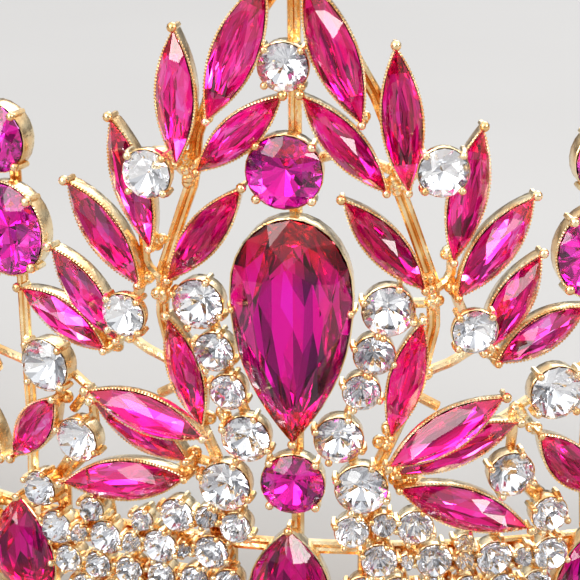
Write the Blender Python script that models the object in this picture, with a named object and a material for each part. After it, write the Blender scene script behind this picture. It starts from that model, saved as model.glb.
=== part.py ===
"""Openwork tiara: a soldered gold frame with leaf, pear and round stones in cup settings.

Millimetres in the tables, metres in the meshes.  The front of the tiara faces -Y, +Z is up, and
the base band stands on z = 0, with the origin under the middle of the tiara's box.  A place on
the tiara is given by u, the arc from the middle of the front (positive to the right), v, the
height up the leaning wall, and w, the depth out of the wall.
"""

import math

import bmesh
import bpy
from mathutils import Matrix, Vector

MM = 0.001

# Driving dimensions of the wall, in millimetres and degrees
ARC_RADIUS = 72.0
WALL_RADIUS = 69.7
CENTRE_Y = 35.1
LEAN = math.radians(5.0)
BAND_ARC = 124.0

# Rails and wires
RAIL_FOOT_WIDTH = 2.4
RAIL_FOOT_HEIGHT = 1.8
RAIL_SET_BACK = 0.3
TOP_RAIL_V = 11.4
TOP_RAIL_SHORT = 1.0
END_CLEAR = 2.0
WIRE_RADIUS = 0.75
TWIG_RADIUS = 0.6
POST_RADIUS = 0.7
POST_SIDES = 6
ARC_STEP = 9.0
WIRE_STEP = 10.0
POST_SPACING = 24.0
WELD_DISTANCE = 0.01

# Depths of a set stone, measured out of the wall
CUP_BACK = -0.3
FRONT_CUP_BACK = 0.5
SEAT_FLOOR = 0.8
STONE_BACK = 1.1
CUP_RIM = 2.3
GIRDLE = 2.3
GAP = 0.3
CUP_WALL = 0.45
STRING_WIRE_W = 1.65
STRING_WIRE_RADIUS = 0.55

# Shape of the cut stones: backs and tables are shares of the girdle outline, crowns are heights
BACK_SHARE = 0.5
LEAF_TABLE = (0.62, 0.34)
ROUND_TABLE = (0.55, 0.55)
PEAR_TABLE = (0.55, 0.5)
LEAF_CROWN = 1.5
ROUND_CROWN = 1.4
PEAR_WIDEST = 0.68
PEAR_FLANK = 2.3
LARGE_ROUND = 7.8
FINE_PEAR = (0.12, 0.3, 0.5, 0.68, 0.84, 0.95)
COARSE_PEAR = (0.2, 0.45, 0.68, 0.9)

# Leaf stones: foot and tip on the right side, then on the left side (hand bent, so not quite equal)
LEAVES = (
    # name, right foot u, v, right tip u, v, left foot u, v, left tip u, v, width, front
    ("leaf_top", 7.2, 62.6, 1.3, 78.1, 8.7, 62.4, 2.2, 77.8, 4.7, 0.0),
    ("leaf_upright", 11.8, 55.0, 10.2, 70.8, 11.9, 57.2, 11.6, 72.0, 4.2, 0.0),
    ("leaf_arch", 9.8, 55.0, 0.9, 65.4, 9.9, 56.6, 0.7, 65.3, 3.8, 0.0),
    ("leaf_inner", 13.9, 43.8, 5.1, 53.8, 13.4, 43.8, 5.0, 54.7, 3.8, 0.0),
    ("leaf_tall", 16.5, 47.0, 19.1, 61.8, 15.0, 47.3, 18.9, 61.5, 4.0, 0.0),
    ("leaf_wide", 17.0, 42.9, 24.8, 53.9, 16.4, 42.8, 24.4, 53.7, 4.4, 0.0),
    ("leaf_outer", 20.0, 36.3, 25.8, 47.2, 19.3, 35.9, 26.9, 45.6, 4.1, 0.0),
    ("leaf_low_outer", 21.5, 35.0, 31.2, 40.8, 20.8, 34.5, 31.2, 40.2, 4.1, 0.0),
    ("leaf_front", 9.8, 24.5, 21.9, 32.3, 8.3, 27.0, 21.6, 30.9, 4.5, 3.7),
    ("leaf_back", 11.2, 21.9, 24.2, 27.6, 11.8, 22.2, 22.8, 27.8, 4.1, 0.0),
    ("leaf_sweep", 11.4, 20.0, 26.0, 14.6, 12.0, 20.0, 27.4, 17.1, 4.7, 0.0),
    ("leaf_drop", 26.8, 25.8, 34.4, 17.8, 28.0, 27.2, 34.4, 19.0, 4.2, 0.0),
    ("leaf_side", 10.5, 26.4, 13.6, 39.8, 10.1, 26.5, 13.5, 39.0, 3.7, 0.0),
)

# Single round stones on both sides: right u, v, left u, v
SIDE_ROUNDS = (
    # name, right u, v, left u, v, diameter, front
    ("clear_high", 14.8, 58.4, 13.7, 57.1, 5.4, 3.7),
    ("clear_mid", 18.4, 40.2, 16.9, 40.5, 4.9, 3.7),
    ("clear_low", 28.5, 30.8, 29.0, 31.2, 6.2, 0.0),
    ("side_round", 32.6, 57.7, 33.2, 57.7, 8.0, 0.0),
    ("side_disc", 32.6, 47.1, 33.0, 47.0, 10.8, 0.0),
)

# Round stones on the middle line
MIDDLE_ROUNDS = (
    # name, u, v, diameter, front
    ("crown_clear", -0.7, 68.6, 5.4, 0.0),
    ("crown_round", -0.7, 56.9, 8.3, 0.0),
    ("heart_round", -0.1, 20.2, 7.1, 0.0),
)

# Pear stones on the middle line; turn is the direction of the tip
PEARS = (
    # name, u, v, length, width, turn, girdle, crown
    ("centre_pear", 0.0, 38.7, 26.2, 13.3, -90.0, 2.9, 2.7),
    ("band_pear", -0.6, 7.9, 13.0, 9.4, 90.0, 2.3, 1.9),
)

# Round clear stones down each side of the pear
PEAR_STRING = (
    # right u, v, left u, v, diameter
    (10.0, 41.2, 10.1, 41.1, 5.7),
    (8.6, 36.0, 8.5, 35.6, 4.5),
    (7.3, 31.6, 7.1, 30.9, 4.1),
    (4.9, 25.8, 5.2, 25.4, 5.4),
    (7.4, 19.8, 7.7, 19.3, 5.8),
)

# Gold wires of the frame, on the right side; the left side mirrors them
FRAME_WIRES = (
    # radius, points u, v
    (WIRE_RADIUS, ((8.6, 11.4), (9.2, 21.5), (11.5, 27.0), (13.7, 32.0), (15.0, 38.5), (14.8, 43.5),
                   (12.9, 49.0), (11.0, 54.4), (10.3, 60.0), (8.4, 65.0), (5.2, 71.0), (0.4, 78.5))),
    (TWIG_RADIUS, ((13.9, 32.8), (17.2, 34.2), (20.8, 36.6), (18.0, 40.4), (16.6, 44.2))),
    (TWIG_RADIUS, ((14.7, 42.6), (16.6, 44.2), (17.0, 49.0))),
    (TWIG_RADIUS, ((10.9, 54.6), (14.3, 57.8), (17.8, 55.8))),
    (TWIG_RADIUS, ((11.0, 56.2), (5.4, 58.6), (0.4, 57.2))),
    (TWIG_RADIUS, ((15.0, 41.2), (9.9, 41.2), (8.5, 36.0), (7.2, 31.4), (5.0, 25.7), (7.6, 19.6))),
    (TWIG_RADIUS, ((13.0, 30.4), (15.8, 28.8))),
    (TWIG_RADIUS, ((9.1, 20.8), (13.0, 21.6), (23.6, 27.4), (28.6, 31.0), (33.2, 33.0))),
    (TWIG_RADIUS, ((12.6, 20.4), (23.0, 15.4), (22.8, 11.4))),
    (TWIG_RADIUS, ((24.4, 21.2), (28.9, 16.8), (29.2, 11.4))),
    (TWIG_RADIUS, ((24.6, 27.8), (24.2, 21.0))),
    (TWIG_RADIUS, ((24.9, 28.0), (27.2, 25.2))),
    (WIRE_RADIUS, ((34.3, 11.4), (33.4, 22.0), (33.2, 34.0), (32.8, 47.0), (32.8, 57.6))),
)

# Upright wire behind the stones of the middle line
SPINE = (WIRE_RADIUS, ((0.1, 0.9), (0.15, 38.0), (0.1, 78.3)))

# Stones of the outer half of the first side motif: foot and tip of leaves, then one round
SPRAY_LEAVES = (
    # foot u, v, tip u, v, width
    (46.6, 36.4, 41.0, 47.4, 4.1),
    (45.2, 34.9, 35.6, 40.8, 4.1),
    (43.6, 26.0, 36.4, 18.6, 4.1),
)
SPRAY_ROUND = (46.6, 31.2, 5.2)
SPRAY_WIRES = (
    # points u, v
    ((33.6, 30.0), (39.5, 31.0), (45.6, 34.2), (45.4, 38.8)),
    ((39.5, 31.0), (42.6, 36.4)),
    ((38.0, 28.4), (42.2, 24.6)),
    ((38.0, 28.4), (39.5, 31.0)),
    ((45.6, 34.2), (46.4, 31.4)),
)

# Side motifs: arc of the middle line, scale and rows of leaves; the rest is relative to the
# middle line and to the top of the band, before scaling
MOTIF_SIDES = ((61.0, 0.86, 4), (91.5, 0.70, 3))
MOTIF_BASE_V = 12.75
MOTIF_PEAR = (0.0, 23.0, 15.0, 9.6, -90.0)
MOTIF_ROUNDS = (
    # u, v, diameter
    (0.0, 34.8, 6.8),
    (0.0, 10.6, 5.6),
)
MOTIF_LEAVES = (
    # foot u, v, tip u, v, width; each is mirrored
    (0.0, 39.6, 0.0, 51.0, 4.2),
    (5.0, 27.6, 9.6, 40.4, 4.2),
    (8.0, 20.4, 15.2, 30.4, 4.2),
    (4.4, 8.2, 14.8, 13.8, 4.4),
)
MOTIF_WIRES = (
    # points u, v; each is mirrored
    ((0.2, -1.0), (0.3, 23.0), (0.2, 44.0)),
    ((0.5, 6.2), (6.0, 9.5), (9.1, 21.5), (5.7, 29.5), (0.7, 34.3)),
)

# Band: a pear under each side motif, and round stones between, as arcs from the pear before them
BAND_PEARS_U = (34.3, 66.0, 97.7)
BAND_PEAR = (7.5, 12.2, 9.2)
ROW_V = 10.9
ROW_DIAMETER = 4.0
ROW_STEPS = (6.6, 14.2, 21.8)
FIRST_ROW = (9.5, 15.6, 22.4, 29.0)
BRANCH_START = (29.0, 10.9)
BAND_BRANCH = (
    # right u, v, left u, v, diameter
    (28.6, 15.9, 31.0, 15.4, 4.2),
    (23.9, 21.2, 25.4, 22.6, 5.2),
)

COLOURS = {
    # name: base colour, metallic, roughness
    "gold": ((0.83, 0.56, 0.22, 1.0), 1.0, 0.22),
    "fuchsia": ((0.72, 0.01, 0.24, 1.0), 0.0, 0.05),
    "clear": ((0.86, 0.87, 0.90, 1.0), 0.0, 0.03),
}


def clear_scene():
    for item in list(bpy.data.objects):
        bpy.data.objects.remove(item, do_unlink=True)


def make_collection(name):
    collection = bpy.data.collections.new(name)
    bpy.context.scene.collection.children.link(collection)
    return collection


def make_material(name, colour):
    base, metallic, roughness = COLOURS[colour]
    material = bpy.data.materials.new(name)
    material.use_nodes = True
    shader = material.node_tree.nodes["Principled BSDF"]
    shader.inputs["Base Color"].default_value = base
    shader.inputs["Metallic"].default_value = metallic
    shader.inputs["Roughness"].default_value = roughness
    return material


def wall_axes(u):
    """Directions along the band, up the leaning wall and out of it, at arc u."""
    angle = u / ARC_RADIUS
    radial = Vector((math.sin(angle), -math.cos(angle), 0.0))
    along = Vector((math.cos(angle), math.sin(angle), 0.0))
    up = Vector((0.0, 0.0, 1.0))
    rise = radial * math.sin(LEAN) + up * math.cos(LEAN)
    out = radial * math.cos(LEAN) - up * math.sin(LEAN)
    return radial, along, rise, out


def wall_point(u, v, w=0.0):
    radial, _, rise, out = wall_axes(u)
    centre = Vector((0.0, CENTRE_Y, 0.0))
    return (centre + radial * WALL_RADIUS + rise * v + out * w) * MM


def wall_matrix(u, v, w, turn_degrees):
    """Place of a piece on the wall: its x axis turned from the band's direction, z out."""
    _, along, rise, out = wall_axes(u)
    turn = math.radians(turn_degrees)
    x_axis = along * math.cos(turn) + rise * math.sin(turn)
    y_axis = rise * math.cos(turn) - along * math.sin(turn)
    matrix = Matrix((x_axis, y_axis, out)).transposed().to_4x4()
    matrix.translation = wall_point(u, v, w)
    return matrix


def leaf_outline(length, width, steps=4):
    """Pointed oval of two arcs, tip on +x, counted anticlockwise."""
    half = []
    for index in range(steps):
        share = index / steps
        half.append((length / 2 * (1 - 2 * share), width / 2 * (1 - (1 - 2 * share) ** 2)))
    return half + [(-x, -y) for x, y in half]


def round_outline(diameter, _width=0.0, sides=None):
    radius = diameter / 2
    if sides is None:
        sides = 10 if diameter > LARGE_ROUND else 8
    corners = []
    for index in range(sides):
        angle = 2 * math.pi * index / sides
        corners.append((radius * math.cos(angle), radius * math.sin(angle)))
    return corners


def pear_half_width(share, width):
    """Half width of a pear at a share of its length from the tip."""
    if share < PEAR_WIDEST:
        return width / 2 * (1 - ((PEAR_WIDEST - share) / PEAR_WIDEST) ** PEAR_FLANK)
    round_share = (share - PEAR_WIDEST) / (1 - PEAR_WIDEST)
    return width / 2 * math.sqrt(max(0.0, 1 - round_share ** 2))


def pear_outline(length, width, shares=FINE_PEAR):
    """Drop shape, tip on +x, counted anticlockwise."""
    upper = [(length / 2 - length * s, pear_half_width(s, width)) for s in shares]
    lower = [(x, -y) for x, y in reversed(upper)]
    return [(length / 2, 0.0)] + upper + [(-length / 2, 0.0)] + lower


def loft(name, rings):
    """Closed mesh through rings of equal point counts, with flat caps; rings in millimetres."""
    mesh = bpy.data.meshes.new(name)
    work = bmesh.new()
    rows = [[work.verts.new(Vector(point) * MM) for point in ring] for ring in rings]
    count = len(rows[0])
    for low, high in zip(rows, rows[1:]):
        for index in range(count):
            after = (index + 1) % count
            work.faces.new((low[index], low[after], high[after], high[index]))
    work.faces.new(list(reversed(rows[0])))
    work.faces.new(rows[-1])
    bmesh.ops.recalc_face_normals(work, faces=work.faces)
    work.to_mesh(mesh)
    work.free()
    return mesh


def ring_at(outline, depth, share_x=1.0, share_y=None):
    share_y = share_x if share_y is None else share_y
    return [(x * share_x, y * share_y, depth) for x, y in outline]


def stone_mesh(name, outline, table, crown, girdle=GIRDLE):
    """Cut stone: flat back, sloped pavilion, girdle, crown facets and table."""
    rings = (
        ring_at(outline, STONE_BACK, BACK_SHARE),
        ring_at(outline, girdle),
        ring_at(outline, girdle + crown, table[0], table[1]),
    )
    return loft(name, rings)


def block_mesh(name, outline, bottom, top):
    return loft(name, (ring_at(outline, bottom), ring_at(outline, top)))


def set_stone_mesh(name, outline, table, crown):
    """Stone and the cup that it sits in as one body: straight cup wall, crown facets and table."""
    rings = (
        ring_at(outline, STONE_BACK),
        ring_at(outline, GIRDLE),
        ring_at(outline, GIRDLE + crown, table[0], table[1]),
    )
    return loft(name, rings)


def add_object(name, mesh, matrix, collection):
    item = bpy.data.objects.new(name, mesh)
    item.matrix_world = matrix
    collection.objects.link(item)
    return item


def add_guide(name, mesh, matrix, collection):
    """Shape that only feeds a Boolean."""
    item = add_object(name, mesh, matrix, collection)
    item.hide_render = True
    item.display_type = "WIRE"
    return item


def fine_points(points):
    """The points with others put between them, so that a long wire follows the round wall."""
    fine = [points[0]]
    for start, end in zip(points, points[1:]):
        pieces = max(1, round(abs(end[0] - start[0]) / WIRE_STEP))
        for index in range(1, pieces + 1):
            share = index / pieces
            fine.append(tuple(a + (b - a) * share for a, b in zip(start, end)))
    return fine


def wire_mesh(name, points, radius):
    """Four-sided wire through world points, as a closed mesh."""
    curve = bpy.data.curves.new(name, "CURVE")
    curve.dimensions = "3D"
    curve.bevel_depth = radius * MM
    curve.bevel_resolution = 0
    curve.use_fill_caps = True
    spline = curve.splines.new("POLY")
    spline.points.add(len(points) - 1)
    for target, point in zip(spline.points, points):
        target.co = (*point, 1.0)
    item = bpy.data.objects.new(name, curve)
    bpy.context.scene.collection.objects.link(item)
    depsgraph = bpy.context.evaluated_depsgraph_get()
    mesh = bpy.data.meshes.new_from_object(item.evaluated_get(depsgraph))
    bpy.data.objects.remove(item, do_unlink=True)
    work = bmesh.new()
    work.from_mesh(mesh)
    bmesh.ops.remove_doubles(work, verts=work.verts, dist=WELD_DISTANCE * MM)
    bmesh.ops.recalc_face_normals(work, faces=work.faces)
    work.to_mesh(mesh)
    work.free()
    return mesh


def wall_wire(name, points, radius, collection, w=0.0):
    world = [wall_point(u, v, w) for u, v in fine_points(points)]
    return add_guide(name, wire_mesh(name, world, radius), Matrix.Identity(4), collection)


def band_rail(name, inner, outer, low, high):
    """Flat rail around the horseshoe of the band, as a loft of rectangles."""
    steps = round(2 * BAND_ARC / ARC_STEP)
    rings = []
    for index in range(steps + 1):
        angle = (2 * index / steps - 1) * BAND_ARC / ARC_RADIUS
        side, front = math.sin(angle), -math.cos(angle)
        corners = ((inner, low), (outer, low), (outer, high), (inner, high))
        rings.append([(side * radius, CENTRE_Y + front * radius, z) for radius, z in corners])
    return loft(name, rings)


def fuse(name, base, blanks, material, target, seats=None):
    """One body from a base shape, the shapes soldered to it and the seats cut out of it."""
    item = add_object(name, base, Matrix.Identity(4), target)
    union = item.modifiers.new("soldered", "BOOLEAN")
    union.operation = "UNION"
    union.operand_type = "COLLECTION"
    union.collection = blanks
    union.solver = "EXACT"
    if seats is not None:
        cut = item.modifiers.new("seats", "BOOLEAN")
        cut.operation = "DIFFERENCE"
        cut.operand_type = "COLLECTION"
        cut.collection = seats
        cut.solver = "EXACT"
    item.data.materials.append(material)
    return item


def leaf_place(foot_u, foot_v, tip_u, tip_v):
    """Middle, length and turn of a leaf stone from its foot and tip."""
    length = math.dist((foot_u, foot_v), (tip_u, tip_v))
    turn = math.degrees(math.atan2(tip_v - foot_v, tip_u - foot_u))
    return (foot_u + tip_u) / 2, (foot_v + tip_v) / 2, length, turn


def main_stones():
    """Rows of name, outline function, length, width, u, v, turn, front, girdle, crown, table, colour."""
    rows = []
    for name, *places, width, front in LEAVES:
        for side, sign, place in (("right", 1, places[:4]), ("left", -1, places[4:])):
            foot_u, foot_v, tip_u, tip_v = place
            u, v, length, turn = leaf_place(sign * foot_u, foot_v, sign * tip_u, tip_v)
            rows.append((f"{name}_{side}", leaf_outline, length, width, u, v, turn, front,
                         GIRDLE, LEAF_CROWN, LEAF_TABLE, "fuchsia"))
    for name, right_u, right_v, left_u, left_v, diameter, front in SIDE_ROUNDS:
        colour = "clear" if name.startswith("clear") else "fuchsia"
        for side, u, v in (("right", right_u, right_v), ("left", -left_u, left_v)):
            rows.append((f"{name}_{side}", round_outline, diameter, diameter, u, v, 0.0, front,
                         GIRDLE, ROUND_CROWN, ROUND_TABLE, colour))
    for name, u, v, diameter, front in MIDDLE_ROUNDS:
        colour = "clear" if name.endswith("clear") else "fuchsia"
        rows.append((name, round_outline, diameter, diameter, u, v, 0.0, front,
                     GIRDLE, ROUND_CROWN, ROUND_TABLE, colour))
    for name, u, v, length, width, turn, girdle, crown in PEARS:
        rows.append((name, pear_outline, length, width, u, v, turn, 0.0,
                     girdle, crown, PEAR_TABLE, "fuchsia"))
    return rows


def add_main_stones(target, blanks, seats):
    """Each main stone, the cup blank under it and the seat that is cut for it."""
    gap = 2 * GAP
    wall = 2 * (GAP + CUP_WALL)
    for row in main_stones():
        name, outline, length, width, u, v, turn, front, girdle, crown, table, colour = row
        matrix = wall_matrix(u, v, front, turn)
        mesh = stone_mesh(name, outline(length, width), table, crown, girdle)
        stone = add_object(name, mesh, matrix, target)
        stone.data.materials.append(make_material(name, colour))
        back = FRONT_CUP_BACK if front > 0.0 else CUP_BACK
        cup = block_mesh(name + "_cup", outline(length + wall, width + wall), back, CUP_RIM)
        add_guide(name + "_cup", cup, matrix, blanks)
        seat_outline = outline(length + gap, width + gap)
        seat = block_mesh(name + "_seat", seat_outline, SEAT_FLOOR, girdle + crown + GAP)
        add_guide(name + "_seat", seat, matrix, seats)
        if front > 0.0:
            post_top = front + (FRONT_CUP_BACK + SEAT_FLOOR) / 2
            post_outline = round_outline(2 * POST_RADIUS, sides=POST_SIDES)
            post = block_mesh(name + "_post", post_outline, 0.0, post_top)
            add_guide(name + "_post", post, wall_matrix(u, v, 0.0, turn), blanks)


def add_string_seats(seats):
    """Room in the frame for the rounds beside the pear."""
    for index, (right_u, right_v, left_u, left_v, diameter) in enumerate(PEAR_STRING):
        for side, u, v in (("right", right_u, right_v), ("left", -left_u, left_v)):
            outline = round_outline(diameter + 2 * GAP)
            name = f"string_seat_{side}_{index}"
            seat = block_mesh(name, outline, SEAT_FLOOR, GIRDLE + ROUND_CROWN + GAP)
            add_guide(name, seat, wall_matrix(u, v, 0.0, 0.0), seats)


def add_frame(target, blanks, seats):
    """Bottom rail with all the wires, rails, posts and cups soldered to it."""
    inner = WALL_RADIUS - RAIL_FOOT_WIDTH / 2 - RAIL_SET_BACK
    base = band_rail("frame", inner, inner + RAIL_FOOT_WIDTH, 0.0, RAIL_FOOT_HEIGHT)
    rail_end = BAND_ARC - TOP_RAIL_SHORT
    top_points = [(-rail_end, TOP_RAIL_V), (rail_end, TOP_RAIL_V)]
    wall_wire("top_rail", top_points, WIRE_RADIUS, blanks)
    for index, (radius, points) in enumerate(FRAME_WIRES):
        for side, sign in (("right", 1), ("left", -1)):
            mirrored = [(sign * u, v) for u, v in points]
            wall_wire(f"wire_{side}_{index}", mirrored, radius, blanks)
    spine_radius, spine_points = SPINE
    wall_wire("spine", spine_points, spine_radius, blanks)
    posts = int((BAND_ARC - END_CLEAR) / POST_SPACING)
    for index in range(1, posts + 1):
        for sign in (1, -1):
            u = sign * index * POST_SPACING
            points = [(u, RAIL_FOOT_HEIGHT / 2), (u, TOP_RAIL_V)]
            wall_wire(f"post_{sign}_{index}", points, TWIG_RADIUS, blanks)
    fuse("frame", base, blanks, make_material("frame", "gold"), target, seats)


def set_stone(name, outline, table, crown, place, blanks):
    u, v, turn = place
    mesh = set_stone_mesh(name, outline, table, crown)
    return add_guide(name, mesh, wall_matrix(u, v, 0.0, turn), blanks)


def set_round(name, u, v, diameter, blanks):
    return set_stone(name, round_outline(diameter, sides=8), ROUND_TABLE, ROUND_CROWN, (u, v, 0.0), blanks)


def set_leaf(name, ends, width, blanks):
    u, v, length, turn = leaf_place(*ends)
    return set_stone(name, leaf_outline(length, width), LEAF_TABLE, LEAF_CROWN, (u, v, turn), blanks)


def fuse_wire_first(name, wires, blanks, colour, target):
    """The first wire is the body; the other wires and the stones are soldered to it."""
    for index, points in enumerate(wires[1:]):
        wall_wire(f"{name}_wire_{index}", points, STRING_WIRE_RADIUS, blanks, STRING_WIRE_W)
    world = [wall_point(u, v, STRING_WIRE_W) for u, v in fine_points(wires[0])]
    base = wire_mesh(name, world, STRING_WIRE_RADIUS)
    fuse(name, base, blanks, make_material(name, colour), target)


def add_pear_rounds(target):
    for side, sign in (("right", 1), ("left", -1)):
        name = f"pear_rounds_{side}"
        blanks = make_collection(name + "_blanks")
        points = []
        for index, (right_u, right_v, left_u, left_v, diameter) in enumerate(PEAR_STRING):
            u, v = (right_u, right_v) if sign > 0 else (-left_u, left_v)
            points.append((u, v))
            set_round(f"{name}_{index}", u, v, diameter, blanks)
        fuse_wire_first(name, [points], blanks, "clear", target)


def add_side_spray(target):
    for side, sign in (("right", 1), ("left", -1)):
        name = f"side_spray_{side}"
        blanks = make_collection(name + "_blanks")
        for index, (foot_u, foot_v, tip_u, tip_v, width) in enumerate(SPRAY_LEAVES):
            set_leaf(f"{name}_{index}", (sign * foot_u, foot_v, sign * tip_u, tip_v), width, blanks)
        u, v, diameter = SPRAY_ROUND
        set_round(name + "_round", sign * u, v, diameter, blanks)
        wires = [[(sign * u, v) for u, v in points] for points in SPRAY_WIRES]
        fuse_wire_first(name, wires, blanks, "fuchsia", target)


def add_side_motif(target, name, middle_u, scale, leaf_rows):
    """Small copy of the centrepiece: pear, rounds and leaves on a stem and two side wires."""
    blanks = make_collection(name + "_blanks")

    def spot(u, v):
        return middle_u + u * scale, MOTIF_BASE_V + v * scale

    u, v, length, width, turn = MOTIF_PEAR
    outline = pear_outline(length * scale, width * scale, COARSE_PEAR)
    set_stone(name + "_pear", outline, PEAR_TABLE, ROUND_CROWN, (*spot(u, v), turn), blanks)
    for index, (u, v, diameter) in enumerate(MOTIF_ROUNDS):
        set_round(f"{name}_round_{index}", *spot(u, v), diameter * scale, blanks)
    for index, (foot_u, foot_v, tip_u, tip_v, width) in enumerate(MOTIF_LEAVES[:leaf_rows]):
        for sign in (1, -1) if foot_u > 0.0 else (1,):
            ends = (*spot(sign * foot_u, foot_v), *spot(sign * tip_u, tip_v))
            set_leaf(f"{name}_leaf_{index}_{sign}", ends, width * scale, blanks)
    wires = [[spot(u, v) for u, v in MOTIF_WIRES[0]]]
    for sign in (1, -1):
        wires.append([spot(sign * u, v) for u, v in MOTIF_WIRES[1]])
    fuse_wire_first(name, wires, blanks, "fuchsia", target)


def add_band_stones(target):
    """String of small stones in front of the top rail, with a pear under each side motif."""
    row = list(FIRST_ROW)
    for pear_u in BAND_PEARS_U:
        row += [pear_u + step for step in ROW_STEPS if pear_u + step < BAND_ARC - END_CLEAR]
    for side, sign in (("right", 1), ("left", -1)):
        name = f"band_stones_{side}"
        blanks = make_collection(name + "_blanks")
        for index, u in enumerate(row):
            set_round(f"{name}_{index}", sign * u, ROW_V, ROW_DIAMETER, blanks)
        pear_v, length, width = BAND_PEAR
        for index, u in enumerate(BAND_PEARS_U):
            outline = pear_outline(length, width, COARSE_PEAR)
            place = (sign * u, pear_v, 90.0)
            set_stone(f"{name}_pear_{index}", outline, PEAR_TABLE, ROUND_CROWN, place, blanks)
        wires = [[(sign * row[0], ROW_V), (sign * row[-1], ROW_V)]]
        branch = [(sign * BRANCH_START[0], BRANCH_START[1])]
        for index, (right_u, right_v, left_u, left_v, diameter) in enumerate(BAND_BRANCH):
            u, v = (right_u, right_v) if sign > 0 else (-left_u, left_v)
            branch.append((u, v))
            set_round(f"{name}_branch_{index}", u, v, diameter, blanks)
        wires.append(branch)
        fuse_wire_first(name, wires, blanks, "clear", target)


def build_tiara():
    clear_scene()
    target = make_collection("tiara")
    blanks = make_collection("frame_blanks")
    seats = make_collection("stone_seats")
    add_main_stones(target, blanks, seats)
    add_string_seats(seats)
    add_frame(target, blanks, seats)
    add_pear_rounds(target)
    add_side_spray(target)
    for index, (middle_u, scale, leaf_rows) in enumerate(MOTIF_SIDES, start=2):
        add_side_motif(target, f"side_motif_{index}_right", middle_u, scale, leaf_rows)
        add_side_motif(target, f"side_motif_{index}_left", -middle_u, scale, leaf_rows)
    add_band_stones(target)


build_tiara()
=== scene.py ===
# %% [markdown]
# # A tiara of fuchsia and clear crystals
# The real thing is an alloy frame, cast flat, bent round the head and plated in warm gold.
# Foil-backed glass stones sit in little cups on it, each held by beads of metal.
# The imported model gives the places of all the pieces, so it is loaded first and never moved.

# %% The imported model
import math
import random

import bmesh
import bpy
from mathutils import Matrix, Vector


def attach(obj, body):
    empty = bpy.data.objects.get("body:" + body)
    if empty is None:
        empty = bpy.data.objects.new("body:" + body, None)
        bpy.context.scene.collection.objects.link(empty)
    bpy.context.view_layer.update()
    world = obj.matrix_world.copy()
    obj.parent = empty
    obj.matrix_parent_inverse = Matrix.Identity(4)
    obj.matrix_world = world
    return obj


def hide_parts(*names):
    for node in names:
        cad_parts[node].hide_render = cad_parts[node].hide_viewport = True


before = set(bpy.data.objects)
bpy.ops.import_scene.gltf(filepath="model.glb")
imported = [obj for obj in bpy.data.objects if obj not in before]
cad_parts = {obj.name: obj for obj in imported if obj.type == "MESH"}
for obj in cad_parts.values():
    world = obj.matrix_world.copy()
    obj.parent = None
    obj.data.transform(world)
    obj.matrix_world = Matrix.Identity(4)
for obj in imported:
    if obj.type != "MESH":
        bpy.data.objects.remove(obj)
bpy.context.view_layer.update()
print("nodes in the packed model:", len(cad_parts))

# %% [markdown]
# ## The wall
# A tiara is drawn flat and then bent, so every place on it has an arc along the band (u),
# a height up the wall (v) and a depth out of the wall (w), all in millimetres.
# One function turns those into metres in the room, and all the pieces use it.

# %% The bent wall
MM = 0.001
ARC_RADIUS = 72.0
WALL_RADIUS = 69.7
CENTRE_Y = 35.1
LEAN = math.radians(5.0)
BAND_ARC = 124.0
WALL_TOP = 78.3
SIDES = (("right", 1), ("left", -1))


def wall_axes(u):
    """Directions away from the head, along the band, up the wall and out of it, at arc u."""
    angle = u / ARC_RADIUS
    radial = Vector((math.sin(angle), -math.cos(angle), 0.0))
    along = Vector((math.cos(angle), math.sin(angle), 0.0))
    up = Vector((0.0, 0.0, 1.0))
    rise = radial * math.sin(LEAN) + up * math.cos(LEAN)
    out = radial * math.cos(LEAN) - up * math.sin(LEAN)
    return radial, along, rise, out


def wall_point(u, v, w=0.0):
    radial, _, rise, out = wall_axes(u)
    centre = Vector((0.0, CENTRE_Y, 0.0))
    return (centre + radial * WALL_RADIUS + rise * v + out * w) * MM


def wall_place(u, v, w, turn_degrees):
    """Place of a piece on the wall, in metres for a piece drawn in millimetres."""
    _, along, rise, out = wall_axes(u)
    turn = math.radians(turn_degrees)
    x_axis = along * math.cos(turn) + rise * math.sin(turn)
    y_axis = rise * math.cos(turn) - along * math.sin(turn)
    place = Matrix((x_axis, y_axis, out)).transposed().to_4x4() @ Matrix.Scale(MM, 4)
    place.translation = wall_point(u, v, w)
    return place


print("top of the wall:", [round(x, 4) for x in wall_point(0.0, WALL_TOP)])

# %% [markdown]
# ## The table of stones
# The stones are the tiara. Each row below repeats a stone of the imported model, with the name
# of its node, so that the polished stone can take the place of the plain one.

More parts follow.
